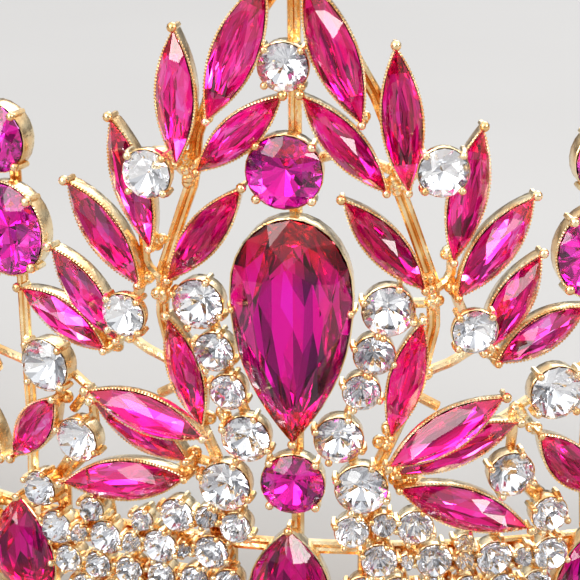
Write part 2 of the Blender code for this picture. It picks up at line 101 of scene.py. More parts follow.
# %% Leaf stones
# name, foot and tip on the right (u, v, u, v), foot and tip on the left, width, step forward
LEAVES = (
    ("leaf_top", 7.2, 62.6, 1.3, 78.1, 8.7, 62.4, 2.2, 77.8, 4.7, 0.0),
    ("leaf_upright", 11.8, 55.0, 10.2, 70.8, 11.9, 57.2, 11.6, 72.0, 4.2, 0.0),
    ("leaf_arch", 9.8, 55.0, 0.9, 65.4, 9.9, 56.6, 0.7, 65.3, 3.8, 0.0),
    ("leaf_inner", 13.9, 43.8, 5.1, 53.8, 13.4, 43.8, 5.0, 54.7, 3.8, 0.0),
    ("leaf_tall", 16.5, 47.0, 19.1, 61.8, 15.0, 47.3, 18.9, 61.5, 4.0, 0.0),
    ("leaf_wide", 17.0, 42.9, 24.8, 53.9, 16.4, 42.8, 24.4, 53.7, 4.4, 0.0),
    ("leaf_outer", 20.0, 36.3, 25.8, 47.2, 19.3, 35.9, 26.9, 45.6, 4.1, 0.0),
    ("leaf_low_outer", 21.5, 35.0, 31.2, 40.8, 20.8, 34.5, 31.2, 40.2, 4.1, 0.0),
    ("leaf_front", 9.8, 24.5, 21.9, 32.3, 8.3, 27.0, 21.6, 30.9, 4.5, 3.7),
    ("leaf_back", 11.2, 21.9, 24.2, 27.6, 11.8, 22.2, 22.8, 27.8, 4.1, 0.0),
    ("leaf_sweep", 11.4, 20.0, 26.0, 14.6, 12.0, 20.0, 27.4, 17.1, 4.7, 0.0),
    ("leaf_drop", 26.8, 25.8, 34.4, 17.8, 28.0, 27.2, 34.4, 19.0, 4.2, 0.0),
    ("leaf_side", 10.5, 26.4, 13.6, 39.8, 10.1, 26.5, 13.5, 39.0, 3.7, 0.0),
)
print("leaf stones on each side:", len(LEAVES))

# %% Round and pear stones
# name, place on the right (u, v), place on the left, diameter, step forward
SIDE_ROUNDS = (
    ("clear_high", 14.8, 58.4, 13.7, 57.1, 5.4, 3.7),
    ("clear_mid", 18.4, 40.2, 16.9, 40.5, 4.9, 3.7),
    ("clear_low", 28.5, 30.8, 29.0, 31.2, 6.2, 0.0),
    ("side_round", 32.6, 57.7, 33.2, 57.7, 8.0, 0.0),
    ("side_disc", 32.6, 47.1, 33.0, 47.0, 10.8, 0.0),
)
# name, u, v, diameter
MIDDLE_ROUNDS = (
    ("crown_clear", -0.7, 68.6, 5.4),
    ("crown_round", -0.7, 56.9, 8.3),
    ("heart_round", -0.1, 20.2, 7.1),
)
# name, u, v, length, width, direction of the tip, height of the girdle, height of the crown
PEARS = (
    ("centre_pear", 0.0, 38.7, 26.2, 13.3, -90.0, 2.9, 2.7),
    ("band_pear", -0.6, 7.9, 13.0, 9.4, 90.0, 2.3, 1.9),
)
print("side rounds, middle rounds and pears:", len(SIDE_ROUNDS), len(MIDDLE_ROUNDS), len(PEARS))

# %% [markdown]
# ## Outlines
# A navette stone is a pointed oval of two arcs, a round is a circle and a pear is both.
# Each outline is a function of a share round the stone, from 0 at the tip, so that one
# cutting routine can ask for as many corners as it needs.

# %% Outlines of the stones
PEAR_WIDEST = 0.68
PEAR_FLANK = 2.3


def leaf_edge(share, length, width):
    side = 1.0 if share <= 0.5 else -1.0
    along = 1.0 - 2.0 * min(2.0 * share, 2.0 - 2.0 * share)
    return length / 2 * along, side * width / 2 * (1.0 - along ** 2)


def round_edge(share, length, width):
    angle = 2.0 * math.pi * share
    return length / 2 * math.cos(angle), width / 2 * math.sin(angle)


def pear_edge(share, length, width):
    """Drop shape; the corners crowd a little towards both ends, where the bend is."""
    side = 1.0 if share <= 0.5 else -1.0
    reach = (1.0 - math.cos(2.0 * math.pi * share)) / 2.0
    if reach < PEAR_WIDEST:
        half = width / 2 * (1.0 - ((PEAR_WIDEST - reach) / PEAR_WIDEST) ** PEAR_FLANK)
    else:
        bend = (reach - PEAR_WIDEST) / (1.0 - PEAR_WIDEST)
        half = width / 2 * math.sqrt(max(0.0, 1.0 - bend ** 2))
    return length / 2 - length * reach, side * half


print("shares of the pear before and behind its widest part:", PEAR_WIDEST, round(1 - PEAR_WIDEST, 2))

# %% [markdown]
# ## Cutting a stone
# A brilliant has a flat table, small triangles and kites round it, a thin girdle, and facets
# that run down to a point behind it. On a long stone they go down to a keel in steps. The
# corners of each row lie between those of the next, and that alone makes the kites and
# triangles. Flat shading is what makes a cut stone look cut, so no face is smoothed.
# Each facet also keeps a number, its tone, which picks the painted light or shade of the facet,
# and its place along the stone, its reach, for the materials to read. Behind the girdle two
# neighbours share a tone, so that some facets look large, as they do in the real stones.

# %% Rows of corners
# edge, facets round the table, then table and star corners as shares of the outline; a round
# has a belly, and a wide one inner corners with depths that alternate; a long stone has steps
# down to its keel, each a share of the length, of the width and of the depth
CUTS = {
    "leaf": dict(edge=leaf_edge, facets=6, table=(0.64, 0.36), star=(0.86, 0.72),
                 steps=((0.93, 0.68, 0.42), (0.86, 0.36, 0.78), (0.8, 0.0, 1.0))),
    "round": dict(edge=round_edge, facets=8, table=(0.56, 0.56), star=(0.8, 0.8), belly=0.5),
    "disc": dict(edge=round_edge, facets=10, table=(0.6, 0.6), star=(0.82, 0.82), belly=0.66,
                 inner=(0.4, (0.45, 0.95))),
    "pear": dict(edge=pear_edge, facets=10, table=(0.64, 0.58), star=(0.84, 0.82),
                 steps=((0.92, 0.76, 0.32), (0.83, 0.56, 0.52), (0.75, 0.36, 0.78),
                        (0.68, 0.2, 0.86), (0.62, 0.0, 1.0))),
}
GIRDLE_HALF = 0.1
STAR_RISE = 0.5


def step_shift(number):
    """The corners of every other step stand between those of its neighbours."""
    return 0.5 if number % 2 == 0 else 0.0


def cut_rings(cut, length, width, girdle, crown, floor):
    """Corners of each row of facets, in millimetres."""
    count, back = cut["facets"], girdle - floor

    def row(points, shift, scale, heights):
        found = []
        for index in range(points):
            x, y = cut["edge"](((index + shift) / points) % 1.0, length, width)
            found.append(Vector((x * scale[0], y * scale[1], heights[index % len(heights)])))
        return found

    rings = {
        "table": row(count, 0.0, cut["table"], [girdle + crown]),
        "star": row(count, 0.5, cut["star"], [girdle + GIRDLE_HALF + crown * STAR_RISE]),
        "girdle": row(2 * count, 0.0, (1.0, 1.0), [girdle + GIRDLE_HALF]),
        "under": row(2 * count, 0.0, (1.0, 1.0), [girdle - GIRDLE_HALF]),
    }
    for number, (long, wide, deep) in enumerate(cut.get("steps", ())):
        rings[f"step {number}"] = row(count, step_shift(number), (long, wide), [girdle - back * deep])
    if "belly" in cut:
        rings["belly"] = row(count, 0.5, (cut["belly"],) * 2, [girdle - back * (1.0 - cut["belly"])])
        rings["culet"] = row(count, 0.0, (0.0, 0.0), [girdle - back])
    if "inner" in cut:
        share, depths = cut["inner"]
        rings["inner"] = row(count, 0.0, (share, share), [girdle - back * deep for deep in depths])
    return rings


# length, width, girdle, crown and floor of a stone to try the rows with
TRIAL = (8.0, 4.0, 2.3, 1.5, 0.25)
for kind, cut in CUTS.items():
    print("rows of a", kind, list(cut_rings(cut, *TRIAL)))

# %% Facets between the rows
TABLE, CROWN, PAVILION = 0, 1, 2


def back_facets(cut, i, j, even, odd, after):
    """Facets behind the girdle between corners i and j, as lists of (row, corner)."""
    if "steps" in cut:
        facets = [
            [("under", even), ("step 0", i), ("under", odd)],
            [("under", odd), ("step 0", i), ("under", after)],
            [("under", after), ("step 0", i), ("step 0", j)],
        ]
        for number in range(len(cut["steps"]) - 1):
            outer, inner = f"step {number}", f"step {number + 1}"
            if step_shift(number) > 0.0:
                facets += [[(outer, i), (inner, i), (inner, j)], [(outer, i), (inner, j), (outer, j)]]
            else:
                facets += [[(outer, i), (inner, i), (outer, j)], [(outer, j), (inner, i), (inner, j)]]
        return facets
    inside = "inner" if "inner" in cut else "culet"
    facets = [
        [("under", even), ("belly", i), ("under", odd)],
        [("under", odd), ("belly", i), ("under", after)],
        [("under", after), ("belly", i), (inside, j)],
        [("under", after), (inside, j), ("belly", j)],
        [("belly", i), (inside, i), (inside, j)],
    ]
    if inside == "inner":
        facets += [[("inner", i), ("culet", i), ("inner", j)], [("inner", j), ("culet", i), ("culet", j)]]
    return facets


def cut_facets(cut):
    """Facets as lists of (row, corner), with the side of the girdle that each is on."""
    count = cut["facets"]
    facets = [(TABLE, [("table", i) for i in range(count)])]
    for i in range(count):
        j, even, odd, after = (i + 1) % count, 2 * i, 2 * i + 1, (2 * i + 2) % (2 * count)
        facets += [
            (CROWN, [("table", i), ("star", i), ("table", j)]),
            (CROWN, [("table", j), ("star", i), ("girdle", after)]),
            (CROWN, [("table", j), ("girdle", after), ("star", j)]),
            (CROWN, [("star", i), ("girdle", even), ("girdle", odd)]),
            (CROWN, [("star", i), ("girdle", odd), ("girdle", after)]),
            (PAVILION, [("girdle", even), ("under", even), ("under", odd), ("girdle", odd)]),
            (PAVILION, [("girdle", odd), ("under", odd), ("under", after), ("girdle", after)]),
        ]
        facets += [(PAVILION, facet) for facet in back_facets(cut, i, j, even, odd, after)]
    return facets


for kind, cut in CUTS.items():
    print("facets of a", kind, len(cut_facets(cut)))

# %% One stone into a growing mesh
CHANCE = random.Random(7)


def start_work():
    """A mesh under way, with the two numbers that each facet keeps."""
    work = bmesh.new()
    work.faces.layers.float.new("tone")
    work.verts.layers.float.new("reach")
    return work


def add_stone(work, kind, length, width, place, girdle, crown, floor, first_material=0):
    """Cuts one stone and puts it in its place; its three materials start at a given one."""
    cut = CUTS[kind]
    tone = work.faces.layers.float["tone"]
    reach = work.verts.layers.float["reach"]
    corners = {}
    for row, points in cut_rings(cut, length, width, girdle, crown, floor).items():
        for index, point in enumerate(points):
            key = tuple(round(x, 4) for x in point)
            corners[(row, index)] = corners.get(key) or work.verts.new(place @ point)
            corners[key] = corners[(row, index)]
            corners[key][reach] = point.x / length + 0.5
    for number, (side, facet) in enumerate(cut_facets(cut)):
        # each tone picks a facet's painted light or shade; behind the girdle a facet at an even number
        # keeps the tone of the one before it
        if side != PAVILION or number % 2 == 1:
            own_tone = CHANCE.random()
        loop = list(dict.fromkeys(corners[corner] for corner in facet))
        if len(loop) > 2:
            face = work.faces.new(loop)
            face.material_index = first_material + side
            face[tone] = own_tone


# %% [markdown]
# ## Crystal
# The glass is clear or stained right through, and its back is covered with bright foil.
# So the front is a glass that light goes through, and the facets behind it are a mirror. The
# crown facets also have a coat that mirrors the room, which makes their edges show, while the
# table stays bare so that the colour under it is deep. Painted light and shade change the
# colour from facet to facet, from a painted shade to a painted flash, and the colour turns red
# towards the ends of a stone. That change is one node group, which all the crystals use with
# their own values.

# %% Building with nodes
MIX_FACTOR, MIX_FIRST, MIX_SECOND, MIX_RESULT = 0, 6, 7, 2


def feed(tree, node, inputs):
    """Gives each input of a node its value, or a link where a socket is given."""
    for label, value in inputs.items():
        if isinstance(value, bpy.types.NodeSocket):
            tree.links.new(value, node.inputs[label])
        else:
            node.inputs[label].default_value = value


def add_node(tree, kind, inputs, **settings):
    """A new node, with its settings made before its inputs are fed."""
    node = tree.nodes.new(kind)
    for name, value in settings.items():
        setattr(node, name, value)
    feed(tree, node, inputs)
    return node


def new_tree(kind, name, inputs, outputs):
    """An empty node tree with named sockets, as (name, type) or (name, type, value)."""
    tree = bpy.data.node_groups.new(name, kind)
    for in_out, sockets in (("INPUT", inputs), ("OUTPUT", outputs)):
        for label, data, *value in sockets:
            socket = tree.interface.new_socket(label, in_out=in_out, socket_type="NodeSocket" + data)
            if value:
                socket.default_value = value[0]
    return tree, tree.nodes.new("NodeGroupInput"), tree.nodes.new("NodeGroupOutput")


def mix_colours(tree, factor, first, second):
    inputs = {MIX_FACTOR: factor, MIX_FIRST: first, MIX_SECOND: second}
    return add_node(tree, "ShaderNodeMix", inputs, data_type="RGBA").outputs[MIX_RESULT]


def spread(tree, value, low, high, to_low=0.0, to_high=1.0):
    """Stretches a range of a value over another range, with soft ends."""
    inputs = {"Value": value, "From Min": low, "From Max": high, "To Min": to_low, "To Max": to_high}
    return add_node(tree, "ShaderNodeMapRange", inputs, interpolation_type="SMOOTHSTEP").outputs["Result"]


def times(tree, first, second):
    return add_node(tree, "ShaderNodeMath", {0: first, 1: second}, operation="MULTIPLY").outputs[0]


# %% The play of the facets, painted light and shade
WHITE = (1.0, 1.0, 1.0, 1.0)
PLAY_COLOURS = ("Deep", "Body", "Flash", "Ends")
PLAY_AMOUNTS = ("Foot Amount", "Tip Amount")
# tones that go from painted shade to body colour, and from body colour to a painted flash
PAINTED_SHADE_TONES = (0.0, 0.55)
PAINTED_FLASH_TONES = (0.7, 1.0)
# parts of a stone over which its colour turns to that of its ends, at the foot and at the tip
END_PARTS = ((0.32, 0.0), (0.68, 1.0))


def kept_number(tree, name):
    """A number that the mesh keeps under a name."""
    return add_node(tree, "ShaderNodeAttribute", {}, attribute_name=name).outputs["Fac"]


def facet_colour_and_painted_light():
    inputs = [(label, "Color", WHITE) for label in PLAY_COLOURS]
    inputs += [(label, "Float", 0.5) for label in PLAY_AMOUNTS]
    group, given, result = new_tree("ShaderNodeTree", "facet colour and painted light", inputs, [("Color", "Color")])
    deep, body, painted_flash, ends, *amounts = given.outputs[:len(inputs)]
    tone, reach = kept_number(group, "tone"), kept_number(group, "reach")
    # the facet's tone mixes a painted shade, the body colour and a painted flash
    colour = mix_colours(group, spread(group, tone, *PAINTED_SHADE_TONES), deep, body)
    colour = mix_colours(group, spread(group, tone, *PAINTED_FLASH_TONES), colour, painted_flash)
    for part, amount in zip(END_PARTS, amounts):
        share = times(group, spread(group, reach, *part), amount)
        colour = mix_colours(group, share, colour, ends)
    feed(group, result, {"Color": colour})
    return group


FACET_LIGHT_GROUP = facet_colour_and_painted_light()
print("node group:", FACET_LIGHT_GROUP.name, "with", len(FACET_LIGHT_GROUP.nodes), "nodes")

# %% Glass and foil
GLASS_IOR = 1.33
COAT_IOR = 1.9
FOIL_ROUGHNESS = 0.05


def shader_material(name):
    """A new material and its Principled shader."""
    material = bpy.data.materials.new(name)
    material.use_nodes = True
    return material, material.node_tree, material.node_tree.nodes["Principled BSDF"]


def stone_material(name, colours, amounts, values):
    """A material whose colour comes from the play of the facets, with their painted light and shade."""
    material, tree, shader = shader_material(name)
    inputs = {label: (*value, 1.0) for label, value in zip(PLAY_COLOURS, colours)}
    inputs |= dict(zip(PLAY_AMOUNTS, amounts))
    play = add_node(tree, "ShaderNodeGroup", inputs, node_tree=FACET_LIGHT_GROUP)
    feed(tree, shader, {"Base Color": play.outputs["Color"], **values})
    return material


def crystal(name, amounts, coat, glass, foil):
    """Table, crown and back of one crystal; glass and foil each have the four colours of the play: painted
    shade, body, painted flash and ends.
    """
    bare = {"Metallic": 0.0, "Transmission Weight": 1.0, "Roughness": 0.0, "IOR": GLASS_IOR,
            "Coat IOR": COAT_IOR}
    return (
        stone_material(name + " table", glass, amounts, bare | {"Coat Weight": 0.0}),
        stone_material(name + " crown", glass, amounts, bare | {"Coat Weight": coat}),
        stone_material(name + " foil", foil, amounts, {"Metallic": 1.0, "Roughness": FOIL_ROUGHNESS}),
    )


CLEAR = crystal(
    "clear", (0.0, 0.0), 0.8,
    ((0.94, 0.95, 0.97), (0.98, 0.98, 0.99), (1.0, 1.0, 1.0), (1.0, 1.0, 1.0)),
    ((0.5, 0.51, 0.54), (0.95, 0.96, 0.98), (1.0, 1.0, 1.0), (1.0, 1.0, 1.0)))
FUCHSIA_LEAF = crystal(
    "fuchsia leaf", (0.5, 0.8), 0.35,
    ((0.9, 0.01, 0.2), (1.0, 0.06, 0.43), (1.0, 0.45, 0.9), (1.0, 0.05, 0.17)),
    ((0.45, 0.02, 0.25), (1.0, 0.4, 0.8), (1.0, 0.9, 1.0), (1.0, 0.4, 0.5)))
FUCHSIA_ROUND = crystal(
    "fuchsia round", (0.0, 0.0), 0.35,
    ((0.8, 0.01, 0.34), (1.0, 0.06, 0.58), (1.0, 0.45, 0.95), (1.0, 0.0, 0.1)),
    ((0.3, 0.02, 0.3), (1.0, 0.35, 0.9), (1.0, 0.9, 1.0), (1.0, 0.1, 0.2)))
FUCHSIA_PEAR = crystal(
    "fuchsia pear", (0.95, 0.2), 0.3,
    ((0.65, 0.0, 0.25), (1.0, 0.0, 0.48), (1.0, 0.03, 0.75), (0.9, 0.0, 0.04)),
    ((0.1, 0.0, 0.12), (0.9, 0.0, 0.63), (1.0, 0.45, 1.0), (0.9, 0.01, 0.06)))
FUCHSIA = {"leaf": FUCHSIA_LEAF, "round": FUCHSIA_ROUND, "disc": FUCHSIA_ROUND, "pear": FUCHSIA_PEAR}
CRYSTAL_ORDER = [*CLEAR, *FUCHSIA_LEAF, *FUCHSIA_ROUND, *FUCHSIA_PEAR]


def crystal_of(kind, colour):
    return CLEAR if colour == "clear" else FUCHSIA[kind]


print("crystal materials:", [m.name for m in CRYSTAL_ORDER])

# %% Putting a piece in the scene
def new_object(name, data):
    """An object in the scene for a mesh, a lamp or a camera."""
    item = bpy.data.objects.new(name, data)
    bpy.context.scene.collection.objects.link(item)
    return item


def close_work(name, work):
    """The mesh under way as a finished one."""
    mesh = bpy.data.meshes.new(name)
    work.to_mesh(mesh)
    work.free()
    return mesh


def finish_piece(name, mesh, materials, nodes):
    """Object at the origin, its place in its mesh, riding on the one body of the tiara."""
    piece = new_object(name, mesh)
    for material in materials:
        mesh.materials.append(material)
    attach(piece, "root")
    if nodes:
        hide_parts(*nodes)


def stone_piece(name, work, materials, nodes):
    bmesh.ops.recalc_face_normals(work, faces=work.faces)
    finish_piece(name, close_work(name, work), materials, nodes)


# %% [markdown]
# ## The main stones
# Forty-one stones stand one by one in their cups, as in the imported model. Their places come
# from the table, and a seeded generator gives the facets their tones of painted light and shade,
# so every run is alike.

# %% Forty-one stones
GIRDLE = 2.3
LEAF_CROWN = 1.5
ROUND_CROWN = 1.4
ROUND_TURN = 22.5
ROUND_KINDS = ("round", "disc")
DISC_FROM = 9.0
CUP_BACK = -0.3
FORWARD_CUP_BACK = 0.5
CULET_LIFT = 0.55


def leaf_place(foot_u, foot_v, tip_u, tip_v):
    """Middle, length and turn of a leaf stone from its foot and tip."""
    length = math.dist((foot_u, foot_v), (tip_u, tip_v))
    turn = math.degrees(math.atan2(tip_v - foot_v, tip_u - foot_u))
    return (foot_u + tip_u) / 2, (foot_v + tip_v) / 2, length, turn


def round_row(name, u, v, diameter, front):
    kind = "disc" if diameter > DISC_FROM else "round"
    colour = "clear" if "clear" in name else "fuchsia"
    return name, kind, diameter, diameter, u, v, ROUND_TURN, front, GIRDLE, ROUND_CROWN, colour


def main_stones():
    """Rows of node, kind, length, width, u, v, turn, front, girdle, crown, colour."""
    rows = []
    for name, *places, width, front in LEAVES:
        for (side, sign), ends in zip(SIDES, (places[:4], places[4:])):
            foot_u, foot_v, tip_u, tip_v = ends
            u, v, length, turn = leaf_place(sign * foot_u, foot_v, sign * tip_u, tip_v)
            rows.append((f"{name}_{side}", "leaf", length, width, u, v, turn, front,
                         GIRDLE, LEAF_CROWN, "fuchsia"))
    for name, right_u, right_v, left_u, left_v, diameter, front in SIDE_ROUNDS:
        rows.append(round_row(name + "_right", right_u, right_v, diameter, front))
        rows.append(round_row(name + "_left", -left_u, left_v, diameter, front))
    rows += [round_row(*stone, 0.0) for stone in MIDDLE_ROUNDS]
    for name, u, v, length, width, turn, girdle, crown in PEARS:
        rows.append((name, "pear", length, width, u, v, turn, 0.0, girdle, crown, "fuchsia"))
    return rows


def cup_back(front):
    """Depth of the back of a cup, which is less where the stone stands forward."""
    return FORWARD_CUP_BACK if front > 0.0 else CUP_BACK


MAIN_STONES = main_stones()
for node, kind, length, width, u, v, turn, front, girdle, crown, colour in MAIN_STONES:
    work = start_work()
    place = wall_place(u, v, front, turn)
    add_stone(work, kind, length, width, place, girdle, crown, cup_back(front) + CULET_LIFT)
    stone_piece(node + "_stone", work, crystal_of(kind, colour), [node])
print("main stones cut:", len(MAIN_STONES))

# %% [markdown]
# ## Gold
# The plating is a warm rose gold over a cast surface: soft waves, fine pits, and a duller,
# redder tone that lies in random waves. One node group mixes those from noise in the object's
# own coordinates, and the metal shader stays outside it.

# %% The cast and plated surface
WAVE_SCALE = 260.0
WAVE_SPREAD = (0.35, 0.65)
GRAIN_SCALE = 900.0
GRAIN_SPREAD = (0.3, 0.7)
POLISH = (0.12, 0.3)
BRIGHT_GOLD = (1.0, 0.81, 0.5, 1.0)
WARM_GOLD = (0.82, 0.49, 0.2, 1.0)


def cast_surface():
    inputs = [("Bright", "Color", BRIGHT_GOLD), ("Warm", "Color", WARM_GOLD),
              ("Grain Scale", "Float", GRAIN_SCALE)]
    outputs = [("Color", "Color"), ("Roughness", "Float"), ("Height", "Float")]
    group, given, result = new_tree("ShaderNodeTree", "cast surface", inputs, outputs)
    bright, warm, grain_scale = given.outputs[:len(inputs)]
    place = add_node(group, "ShaderNodeTexCoord", {}).outputs["Object"]
    waves = add_node(group, "ShaderNodeTexNoise", {"Vector": place, "Scale": WAVE_SCALE, "Detail": 2.0})
    grain = add_node(group, "ShaderNodeTexNoise", {"Vector": place, "Scale": grain_scale, "Detail": 4.0})
    tint = spread(group, waves.outputs["Fac"], *WAVE_SPREAD)
    feed(group, result, {
        "Color": mix_colours(group, tint, warm, bright),
        "Roughness": spread(group, grain.outputs["Fac"], *GRAIN_SPREAD, *POLISH),
        "Height": grain.outputs["Fac"],
    })
    return group


def gold_material():
    material, tree, shader = shader_material("rose gold plating")
    surface = add_node(tree, "ShaderNodeGroup", {}, node_tree=cast_surface())
    feed(tree, surface, {"Bright": BRIGHT_GOLD, "Warm": WARM_GOLD, "Grain Scale": GRAIN_SCALE})
    height = surface.outputs["Height"]
    bump = add_node(tree, "ShaderNodeBump", {"Height": height, "Strength": 0.4, "Distance": 0.0003})
    feed(tree, shader, {"Base Color": surface.outputs["Color"], "Roughness": surface.outputs["Roughness"],
                        "Normal": bump.outputs["Normal"], "Metallic": 1.0})
    return material


GOLD = gold_material()
print("metal:", GOLD.name)

# %% [markdown]
# ## Wires and beads
# All that is round and thin on the frame follows a line: stems, twigs, posts and claws. One
# Geometry Nodes tree draws them from a mesh of plain edges. A second tree strings beads on
# such lines, as the milled edge of a cup, and a third sets a bead on each lone point.

# %% A tree that draws wire along edges
def shape_tree(name, *numbers):
    """Geometry Nodes tree with a mesh in and out, a metal and some numbers."""
    inputs = [("Geometry", "Geometry"), *numbers, ("Material", "Material")]
    return new_tree("GeometryNodeTree", name, inputs, [("Geometry", "Geometry")])


def end_tree(tree, given, result, geometry):
    """Smooth shading, real geometry and the metal: the last steps of every tree here."""
    smooth = add_node(tree, "GeometryNodeSetShadeSmooth", {"Geometry": geometry})
    real = add_node(tree, "GeometryNodeRealizeInstances", {0: smooth.outputs[0]})
    metal = {"Geometry": real.outputs[0], "Material": given.outputs["Material"]}
    paint = add_node(tree, "GeometryNodeSetMaterial", metal)
    feed(tree, result, {0: paint.outputs[0]})
    return tree


def even_points(tree, given, curve):
    """Points at even steps along a curve."""
    inputs = {"Curve": curve, "Length": given.outputs["Step"]}
    return add_node(tree, "GeometryNodeResampleCurve", inputs, mode="LENGTH").outputs[0]


def wire_tree():
    tree, given, result = shape_tree(
        "drawn wire", ("Radius", "Float", 0.0006), ("Step", "Float", 0.0008), ("Sides", "Int", 8))
    line = add_node(tree, "GeometryNodeMeshToCurve", {0: given.outputs["Geometry"]})
    bend = add_node(tree, "GeometryNodeCurveSplineType", {"Curve": line.outputs[0]},
                    spline_type="CATMULL_ROM")
    size = {"Resolution": given.outputs["Sides"], "Radius": given.outputs["Radius"]}
    section = add_node(tree, "GeometryNodeCurvePrimitiveCircle", size)
    draw = add_node(tree, "GeometryNodeCurveToMesh", {
        "Curve": even_points(tree, given, bend.outputs[0]), "Profile Curve": section.outputs[0],
        "Fill Caps": True})
    return end_tree(tree, given, result, draw.outputs[0])


WIRE = wire_tree()
print("tree:", WIRE.name, [s.name for s in WIRE.interface.items_tree])

# %% Trees that set beads
def bead_string_tree():
    """Beads at even steps along every line of the mesh."""
    tree, given, result = shape_tree(
        "milled edge", ("Radius", "Float", 0.0003), ("Step", "Float", 0.0006), ("Detail", "Int", 1))
    line = add_node(tree, "GeometryNodeMeshToCurve", {0: given.outputs["Geometry"]})
    size = {"Radius": given.outputs["Radius"], "Subdivisions": given.outputs["Detail"]}
    bead = add_node(tree, "GeometryNodeMeshIcoSphere", size)
    put = add_node(tree, "GeometryNodeInstanceOnPoints", {
        "Points": even_points(tree, given, line.outputs[0]), "Instance": bead.outputs[0]})
    return end_tree(tree, given, result, put.outputs[0])


def bead_point_tree():
    """A bead on every point, scaled by the point's own size."""
    tree, given, result = shape_tree("claw beads", ("Detail", "Int", 2))
    size = add_node(tree, "GeometryNodeInputNamedAttribute", {"Name": "size"}, data_type="FLOAT")
    bead = add_node(tree, "GeometryNodeMeshIcoSphere", {
        "Radius": 1.0, "Subdivisions": given.outputs["Detail"]})
    put = add_node(tree, "GeometryNodeInstanceOnPoints", {
        "Points": given.outputs["Geometry"], "Instance": bead.outputs[0], "Scale": size.outputs[0]})
    return end_tree(tree, given, result, put.outputs[0])


BEAD_STRING = bead_string_tree()
BEAD_POINT = bead_point_tree()
print("trees:", BEAD_STRING.name, BEAD_POINT.name)

# %% Running a tree
SHARP_ANGLE = math.radians(40.0)


def line_mesh(lines, closed=False):
    """Mesh of plain edges through lists of world points."""
    corners, edges = [], []
    for line in lines:
        first = len(corners)
        corners += [tuple(point) for point in line]
        edges += [(first + i, first + i + 1) for i in range(len(line) - 1)]
        if closed:
            edges.append((len(corners) - 1, first))
    mesh = bpy.data.meshes.new("lines")
    mesh.from_pydata(corners, edges, [])
    return mesh


def run_tree(mesh, tree, **values):
    """The mesh that the tree makes, as plain geometry."""
    holder = new_object("holder", mesh)
    modifier = holder.modifiers.new("tree", "NODES")
    modifier.node_group = tree
    names = {item.name: item.identifier for item in tree.interface.items_tree if item.in_out == "INPUT"}
    for label, value in {"Material": GOLD, **values}.items():
        modifier[names[label]] = value
    depsgraph = bpy.context.evaluated_depsgraph_get()
    made = bpy.data.meshes.new_from_object(holder.evaluated_get(depsgraph))
    holder.modifiers.clear()
    bpy.data.objects.remove(holder, do_unlink=True)
    return made


def gold_piece(name, meshes, nodes):
    """One piece of metal from several meshes."""
    work = bmesh.new()
    for mesh in meshes:
        work.from_mesh(mesh)
        bpy.data.meshes.remove(mesh)
    for face in work.faces:
        face.material_index = 0
    bmesh.ops.recalc_face_normals(work, faces=work.faces)
    joined = close_work(name, work)
    joined.set_sharp_from_angle(angle=SHARP_ANGLE)
    finish_piece(name, joined, [GOLD], nodes)
    print(name, "triangles:", sum(len(p.vertices) - 2 for p in joined.polygons))


# %% [markdown]
# ## Cups and claws
# Each stone drops into a cup whose wall ends in a milled edge at the girdle. Leaves are held
# at their two ends and rounds by four claws, each a short wire bent over the stone with a
# bead on it. A class keeps the parts of the settings together until their metal is joined.

# %% Numbers of the settings
EDGE_CORNERS = {"leaf": 28, "round": 24, "disc": 32, "pear": 36}
CUP_LIP = {"leaf": 0.24, "round": 0.14, "disc": 0.2, "pear": 0.2}
# the cup's section: foot and floor stand in from the outline, the lip out of it, and the
# inner wall stands just off the stone; the pairs are depths below the girdle
FOOT_INSET = 0.35
FLARE_RISE = 0.5
LIP_DEPTHS = (0.7, 0.2)
CUP_GAP = 0.05
INNER_DEPTHS = (0.12, 0.4)
FLOOR_INSET = 0.3
FLOOR_RISE = 0.3
MILLED_KINDS = ("leaf", "disc")
MILLED_SHARE = 0.75
MILLED_DEPTH = 0.18
MILLED_BEADS = {"Radius": 0.00017, "Step": 0.0004}
# foot and bend of a claw's wire as (distance past the outline, height), and its end
CLAW_FOOT = (0.3, 0.6)
CLAW_BEND = (0.35, -0.3)
CLAW_OVER = 0.35
CLAW_WIRE = {"Radius": 0.00034, "Step": 0.0005, "Sides": 6}
ROUND_CLAWS = [(math.cos(angle) / 2, math.sin(angle) / 2, 0.1, 0.26, 0.035)
               for angle in map(math.radians, (45, 135, 225, 315))]
# share of the length, share of the width, distance past the outline, bead, its growth by length
CLAWS = {
    "leaf": ((0.5, 0.0, 0.5, 0.6, 0.0), (-0.5, 0.0, 0.1, 0.5, 0.0)),
    "pear": ((0.5, 0.0, 0.1, 0.55, 0.0), (-0.1, 0.49, 0.0, 0.45, 0.0), (-0.1, -0.49, 0.0, 0.45, 0.0)),
    "round": ROUND_CLAWS,
    "disc": ROUND_CLAWS,
}
print("claws on each kind:", {kind: len(claws) for kind, claws in CLAWS.items()})

# %% Settings under way
def bead_points(beads):
    """Lone points, each with the size of its bead, for the tree that sets beads."""
    points = line_mesh([[point] for point, _ in beads])
    sizes = points.attributes.new("size", "FLOAT", "POINT")
    sizes.data.foreach_set("value", [size * MM for _, size in beads])
    return points


def edge_points(kind, length, width, offset, height, place):
    """World points round the outline of a stone, a little out of it or in from it."""
    edge, count = CUTS[kind]["edge"], EDGE_CORNERS[kind]
    flat = [edge(index / count, length + 2 * offset, width + 2 * offset) for index in range(count)]
    return [place @ Vector((x, y, height)) for x, y in flat]


def loft(work, rows):
    """Smooth wall through closed rows of corners."""
    for low, high in zip(rows, rows[1:]):
        for i in range(len(low)):
            j = (i + 1) % len(low)
            work.faces.new((low[i], low[j], high[j], high[i])).smooth = True


